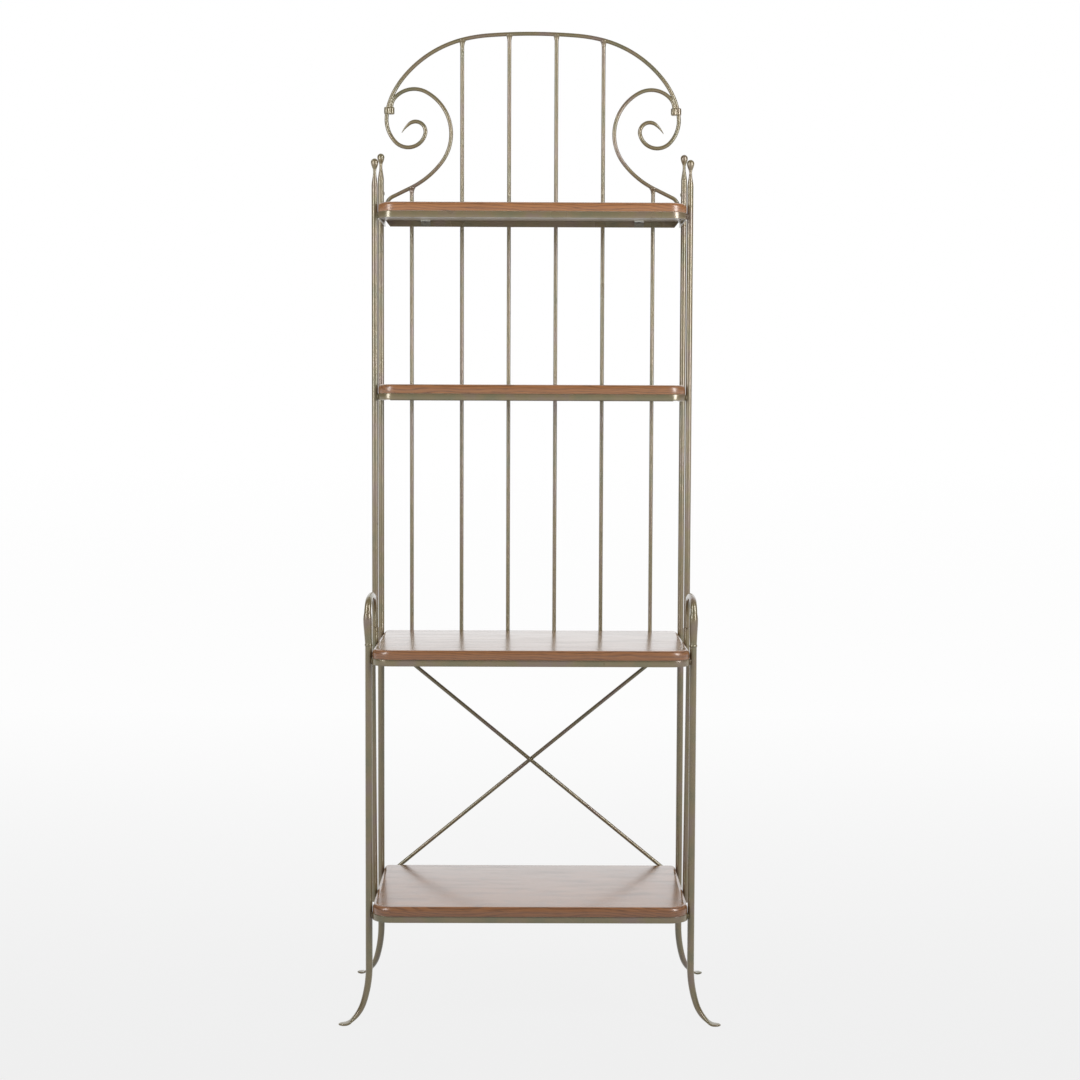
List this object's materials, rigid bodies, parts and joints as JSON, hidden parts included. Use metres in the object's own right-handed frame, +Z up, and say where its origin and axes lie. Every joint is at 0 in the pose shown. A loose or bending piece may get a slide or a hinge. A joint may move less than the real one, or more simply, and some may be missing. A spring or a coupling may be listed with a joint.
{
  "type": "bakers rack",
  "caption": "Free-standing steel bakers rack with a scrolled crown, back spindles, splayed feet, shallow upper and deep lower oak shelves, and an X brace behind.",
  "frame": {"origin": "on the floor, under the middle of the rack's overall box", "axes": "+X to the rack's right seen from the front, -Y out of its front, +Z up"},
  "size_m": [0.768, 0.4128, 2.032],
  "materials": {
    "steel": "semi-gloss antique bronze powder coat",
    "oak": "brown stained oak under glossy lacquer",
    "screws": "bright zinc"
  },
  "bodies": {
    "root": {"brace_back_rod": "steel", "brace_front_rod": "steel", "clip_screws": "screws", "crook_left": "steel", "crook_right": "steel", "crown_arch": "steel", "crown_collar_left": "steel", "crown_collar_right": "steel", "crown_scroll_left": "steel", "crown_scroll_right": "steel", "crown_welds": "steel", "finial_front_left": "steel", "finial_front_right": "steel", "finial_rear_left": "steel", "finial_rear_right": "steel", "foot_front_left": "steel", "foot_front_right": "steel", "foot_rear_left": "steel", "foot_rear_right": "steel", "front_leg_left": "steel", "front_leg_right": "steel", "lower_stay_left": "steel", "lower_stay_right": "steel", "rear_post_left": "steel", "rear_post_right": "steel", "shelf_1_back_rail": "steel", "shelf_1_band": "steel", "shelf_1_board": "oak", "shelf_1_clips": "steel", "shelf_2_back_rail": "steel", "shelf_2_band": "steel", "shelf_2_board": "oak", "shelf_2_clips": "steel", "shelf_3_back_rail": "steel", "shelf_3_band": "steel", "shelf_3_board": "oak", "shelf_3_clips": "steel", "shelf_4_back_rail": "steel", "shelf_4_band": "steel", "shelf_4_board": "oak", "shelf_4_clips": "steel", "spindle_inner_left": "steel", "spindle_inner_right": "steel", "spindle_middle_left": "steel", "spindle_middle_right": "steel", "spindle_outer_left": "steel", "spindle_outer_right": "steel", "upper_post_left": "steel", "upper_post_right": "steel"}
  },
  "joints": []
}
